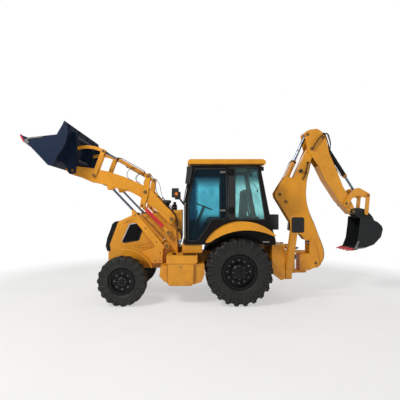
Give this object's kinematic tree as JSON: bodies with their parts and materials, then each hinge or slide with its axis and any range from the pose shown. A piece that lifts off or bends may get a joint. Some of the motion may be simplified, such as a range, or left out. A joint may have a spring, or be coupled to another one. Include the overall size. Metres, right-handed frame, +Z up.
{
  "type": "backhoe loader",
  "caption": "wheeled backhoe loader with a self-levelling front loader linkage and bucket, enclosed cab, centre-pivot digging arm and folding stabilizer legs",
  "frame": {"origin": "on the ground, below the middle of the whole machine in the pose of the picture", "axes": "+X toward the digging arm at the rear, -X toward the loader bucket, +Y to the right side of a driver who faces the loader, +Z up"},
  "size_m": [7.302, 2.4, 3.6079],
  "materials": {
    "yellow_paint": "semi-gloss paint",
    "black_paint": "satin black paint",
    "barrel_paint": "semi-gloss paint",
    "bucket_paint": "worn dark paint",
    "chrome": "polished",
    "steel": "turned",
    "glass": "tinted",
    "tyre": "worn rubber",
    "seat_cover": "woven",
    "plastic": "moulded"
  },
  "bodies": {
    "chassis": {"main_frame": "yellow_paint", "rear_frame": "yellow_paint", "axles": "black_paint", "hood": "yellow_paint", "grilles": "plastic", "engine": "black_paint", "side_boxes": "black_paint", "fenders": "yellow_paint", "cab_frame": "black_paint", "cab_glass": "glass", "cab_roof": "yellow_paint", "seat": "seat_cover", "controls": "plastic", "exhaust": "black_paint", "lamps": "plastic"},
    "door": {"door_left": "black_paint", "door_left_glass": "glass"},
    "knuckle_left": {"knuckle_left": "black_paint"},
    "knuckle_right": {"knuckle_right": "black_paint"},
    "wheel_front_left": {"tyre_front_left": "tyre", "rim_front_left": "black_paint"},
    "wheel_front_right": {"tyre_front_right": "tyre", "rim_front_right": "black_paint"},
    "wheel_rear_left": {"tyre_rear_left": "tyre", "rim_rear_left": "black_paint"},
    "wheel_rear_right": {"tyre_rear_right": "tyre", "rim_rear_right": "black_paint"},
    "loader_arms": {"loader_arms": "yellow_paint"},
    "bellcranks": {"bellcranks": "yellow_paint"},
    "crank_pins": {"crank_pins": "steel"},
    "levelling_links": {"levelling_links": "barrel_paint"},
    "lift_barrels": {"lift_barrels": "barrel_paint"},
    "lift_rods": {"lift_rods": "chrome"},
    "tilt_barrels": {"tilt_barrels": "barrel_paint"},
    "tilt_rods": {"tilt_rods": "chrome"},
    "lever_pins": {"lever_pins": "steel"},
    "front_levers": {"front_levers": "black_paint"},
    "link_pins": {"link_pins": "steel"},
    "curved_links": {"curved_links": "black_paint"},
    "bucket_pins": {"bucket_pins": "steel"},
    "loader_bucket": {"coupler": "bucket_paint", "loader_bucket": "bucket_paint"},
    "swing_post": {"swing_post": "yellow_paint"},
    "boom": {"boom": "yellow_paint"},
    "boom_barrel": {"boom_barrel": "barrel_paint"},
    "boom_rod": {"boom_rod": "chrome"},
    "dipper": {"dipper": "yellow_paint"},
    "dipper_barrel": {"dipper_barrel": "barrel_paint"},
    "dipper_rod": {"dipper_rod": "chrome"},
    "bucket_barrel": {"bucket_barrel": "barrel_paint"},
    "bucket_rod": {"bucket_rod": "chrome"},
    "rocker": {"rocker": "black_paint"},
    "bucket_link": {"bucket_link": "black_paint"},
    "digger_bucket": {"digger_bucket": "bucket_paint"},
    "stabilizer_left": {"stabilizer_left": "black_paint"},
    "stabilizer_right": {"stabilizer_right": "black_paint"},
    "stab_barrel_left": {"stabilizer_barrel_left": "barrel_paint"},
    "stab_barrel_right": {"stabilizer_barrel_right": "barrel_paint"},
    "stab_rod_left": {"stabilizer_rod_left": "chrome"},
    "stab_rod_right": {"stabilizer_rod_right": "chrome"}
  },
  "joints": [
    {"name": "wheel_rear_left", "type": "hinge", "parent": "chassis", "child": "wheel_rear_left", "pos_m": [0.486, -0.912, 0.64999], "axis": [0, 1, 0], "continuous": true},
    {"name": "wheel_rear_right", "type": "hinge", "parent": "chassis", "child": "wheel_rear_right", "pos_m": [0.486, 0.912, 0.64999], "axis": [0, 1, 0], "continuous": true},
    {"name": "wheel_front_left", "type": "hinge", "parent": "knuckle_left", "child": "wheel_front_left", "pos_m": [-1.754, -0.99, 0.47699], "axis": [0, 1, 0], "continuous": true},
    {"name": "wheel_front_right", "type": "hinge", "parent": "knuckle_right", "child": "wheel_front_right", "pos_m": [-1.754, 0.99, 0.47699], "axis": [0, 1, 0], "continuous": true},
    {"name": "steer_left", "type": "hinge", "parent": "chassis", "child": "knuckle_left", "pos_m": [-1.754, -0.8, 0.47699], "axis": [0, 0, 1], "range_deg": [-30, 30]},
    {"name": "steer_right", "type": "hinge", "parent": "chassis", "child": "knuckle_right", "pos_m": [-1.754, 0.8, 0.47699], "axis": [0, 0, 1], "range_deg": [-30, 30]},
    {"name": "door_left_hinge", "type": "hinge", "parent": "chassis", "child": "door", "pos_m": [0.361, -0.815, 2.20999], "axis": [0, 0, 1], "range_deg": [0, 90]},
    {"name": "loader_lift", "type": "hinge", "parent": "chassis", "child": "loader_arms", "pos_m": [-0.832, 0, 1.65699], "axis": [0, 1, 0], "range_deg": [-64, 22]},
    {"name": "bellcrank_turn", "type": "hinge", "parent": "loader_arms", "child": "bellcranks", "pos_m": [-1.367, 0, 2.20599], "axis": [0, 1, 0], "range_deg": [-22, 64]},
    {"name": "crank_pin_turn", "type": "hinge", "parent": "bellcranks", "child": "crank_pins", "pos_m": [-1.311, 0, 2.52799], "axis": [0, 1, 0], "range_deg": [-56.91, 19.56]},
    {"name": "levelling_link_turn", "type": "hinge", "parent": "chassis", "child": "levelling_links", "pos_m": [-0.897, 0, 1.38099], "axis": [0, 1, 0], "range_deg": [-64, 22]},
    {"name": "lift_barrel_turn", "type": "hinge", "parent": "chassis", "child": "lift_barrels", "pos_m": [-0.928, 0, 1.10999], "axis": [0, 1, 0], "range_deg": [-56.98, 19.59]},
    {"name": "lift_rod_slide", "type": "slide", "parent": "lift_barrels", "child": "lift_rods", "axis": [-0.6909, 0, 0.7229], "range_m": [-0.56096, 0.19283]},
    {"name": "lever_pin_turn", "type": "hinge", "parent": "loader_arms", "child": "lever_pins", "pos_m": [-2.409, 0, 2.54499], "axis": [0, 1, 0], "range_deg": [-11.71, 34.07]},
    {"name": "bucket_pin_turn", "type": "hinge", "parent": "loader_arms", "child": "bucket_pins", "pos_m": [-2.844, 0, 2.64499], "axis": [0, 1, 0], "range_deg": [-15.77, 45.88]},
    {"name": "bucket_tilt", "type": "hinge", "parent": "bucket_pins", "child": "loader_bucket", "pos_m": [-2.844, 0, 2.64499], "axis": [0, 1, 0], "range_deg": [-90, 0]},
    {"name": "front_lever_turn", "type": "hinge", "parent": "lever_pins", "child": "front_levers", "pos_m": [-2.409, 0, 2.54499], "axis": [0, 1, 0], "range_deg": [-58.12, 0]},
    {"name": "link_pin_turn", "type": "hinge", "parent": "front_levers", "child": "link_pins", "pos_m": [-2.224, 0, 3.03999], "axis": [0, 1, 0], "range_deg": [-21.71, 7.46]},
    {"name": "curved_link_turn", "type": "hinge", "parent": "link_pins", "child": "curved_links", "pos_m": [-2.224, 0, 3.03999], "axis": [0, 1, 0], "range_deg": [0, 33.6]},
    {"name": "tilt_barrel_turn", "type": "hinge", "parent": "crank_pins", "child": "tilt_barrels", "pos_m": [-1.311, 0, 2.52799], "axis": [0, 1, 0], "range_deg": [-9.68, 0]},
    {"name": "tilt_rod_slide", "type": "slide", "parent": "tilt_barrels", "child": "tilt_rods", "axis": [-0.8722, 0, 0.4891], "range_m": [0, 0.46229]},
    {"name": "boom_swing", "type": "hinge", "parent": "chassis", "child": "swing_post", "pos_m": [2.016, 0, 0.71499], "axis": [0, 0, 1], "range_deg": [-90, 90]},
    {"name": "boom_lift", "type": "hinge", "parent": "swing_post", "child": "boom", "pos_m": [2.276, 0, 0.68999], "axis": [0, 1, 0], "range_deg": [0, 115]},
    {"name": "boom_barrel_turn", "type": "hinge", "parent": "boom", "child": "boom_barrel", "pos_m": [1.636, 0, 2.01999], "axis": [0, 1, 0], "range_deg": [0, 25.98]},
    {"name": "boom_rod_slide", "type": "slide", "parent": "boom_barrel", "child": "boom_rod", "axis": [0.5215, 0, -0.8533], "range_m": [0, 0.43796]},
    {"name": "dipper_swing", "type": "hinge", "parent": "boom", "child": "dipper", "pos_m": [2.186, 0, 3.16999], "axis": [0, -1, 0], "range_deg": [0, 110]},
    {"name": "dipper_barrel_turn", "type": "hinge", "parent": "boom", "child": "dipper_barrel", "pos_m": [1.505, 0, 2.17599], "axis": [0, -1, 0], "range_deg": [0, 2.52]},
    {"name": "dipper_rod_slide", "type": "slide", "parent": "dipper_barrel", "child": "dipper_rod", "axis": [0.4106, 0, 0.9118], "range_m": [-0.53814, 0]},
    {"name": "digger_bucket_curl", "type": "hinge", "parent": "dipper", "child": "digger_bucket", "pos_m": [3.086, 0, 1.80599], "axis": [0, -1, 0], "range_deg": [-35, 75]},
    {"name": "rocker_turn", "type": "hinge", "parent": "dipper", "child": "rocker", "pos_m": [2.922, 0, 1.97999], "axis": [0, -1, 0], "range_deg": [-18.51, 39.67]},
    {"name": "bucket_link_turn", "type": "hinge", "parent": "rocker", "child": "bucket_link", "pos_m": [3.38, 0, 2.15399], "axis": [0, -1, 0], "range_deg": [-24.36, 11.37]},
    {"name": "bucket_barrel_turn", "type": "hinge", "parent": "dipper", "child": "bucket_barrel", "pos_m": [2.442, 0, 3.41499], "axis": [0, -1, 0], "range_deg": [-5.05, 2.36]},
    {"name": "bucket_rod_slide", "type": "slide", "parent": "bucket_barrel", "child": "bucket_rod", "axis": [0.5358, 0, -0.8444], "range_m": [-0.2152, 0.10043]},
    {"name": "stabilizer_left_turn", "type": "hinge", "parent": "chassis", "child": "stabilizer_left", "pos_m": [1.506, -0.71, 0.51999], "axis": [1, 0, 0], "range_deg": [0, 97]},
    {"name": "stab_barrel_left_turn", "type": "hinge", "parent": "chassis", "child": "stab_barrel_left", "pos_m": [1.611, -0.2, 1.05999], "axis": [1, 0, 0], "range_deg": [0, 28.49]},
    {"name": "stab_rod_left_slide", "type": "slide", "parent": "stab_barrel_left", "child": "stab_rod_left", "axis": [0, -0.9794, -0.2018], "range_m": [0, 0.51399]},
    {"name": "stabilizer_right_turn", "type": "hinge", "parent": "chassis", "child": "stabilizer_right", "pos_m": [1.506, 0.71, 0.51999], "axis": [-1, 0, 0], "range_deg": [0, 97]},
    {"name": "stab_barrel_right_turn", "type": "hinge", "parent": "chassis", "child": "stab_barrel_right", "pos_m": [1.611, 0.2, 1.05999], "axis": [-1, 0, 0], "range_deg": [0, 28.49]},
    {"name": "stab_rod_right_slide", "type": "slide", "parent": "stab_barrel_right", "child": "stab_rod_right", "axis": [0, 0.9794, -0.2018], "range_m": [0, 0.51399]}
  ],
  "couplings": [
    {"joint": "steer_right", "follows": "steer_left", "ratio": 1},
    {"joint": "bellcrank_turn", "follows": "loader_lift", "ratio": -1},
    {"joint": "crank_pin_turn", "follows": "loader_lift", "ratio": 0.8892},
    {"joint": "levelling_link_turn", "follows": "loader_lift", "ratio": 1},
    {"joint": "lift_barrel_turn", "follows": "loader_lift", "ratio": 0.8903},
    {"joint": "lift_rod_slide", "follows": "loader_lift", "m_per_rad": 0.5022},
    {"joint": "lever_pin_turn", "follows": "loader_lift", "ratio": -0.5323},
    {"joint": "bucket_pin_turn", "follows": "loader_lift", "ratio": -0.7169},
    {"joint": "front_lever_turn", "follows": "bucket_tilt", "ratio": 0.6458},
    {"joint": "link_pin_turn", "follows": "loader_lift", "ratio": 0.3392},
    {"joint": "curved_link_turn", "follows": "bucket_tilt", "ratio": -0.3733},
    {"joint": "tilt_barrel_turn", "follows": "bucket_tilt", "ratio": 0.1076},
    {"joint": "tilt_rod_slide", "follows": "bucket_tilt", "m_per_rad": -0.2943},
    {"joint": "boom_barrel_turn", "follows": "boom_lift", "ratio": 0.2259},
    {"joint": "boom_rod_slide", "follows": "boom_lift", "m_per_rad": 0.2182},
    {"joint": "dipper_barrel_turn", "follows": "dipper_swing", "ratio": 0.0229},
    {"joint": "dipper_rod_slide", "follows": "dipper_swing", "m_per_rad": -0.2803},
    {"joint": "rocker_turn", "follows": "digger_bucket_curl", "ratio": 0.5289},
    {"joint": "bucket_link_turn", "follows": "digger_bucket_curl", "ratio": -0.3248},
    {"joint": "bucket_barrel_turn", "follows": "digger_bucket_curl", "ratio": -0.0673},
    {"joint": "bucket_rod_slide", "follows": "digger_bucket_curl", "m_per_rad": -0.1644},
    {"joint": "stab_barrel_left_turn", "follows": "stabilizer_left_turn", "ratio": 0.2937},
    {"joint": "stab_rod_left_slide", "follows": "stabilizer_left_turn", "m_per_rad": 0.3036},
    {"joint": "stab_barrel_right_turn", "follows": "stabilizer_right_turn", "ratio": 0.2937},
    {"joint": "stab_rod_right_slide", "follows": "stabilizer_right_turn", "m_per_rad": 0.3036}
  ]
}
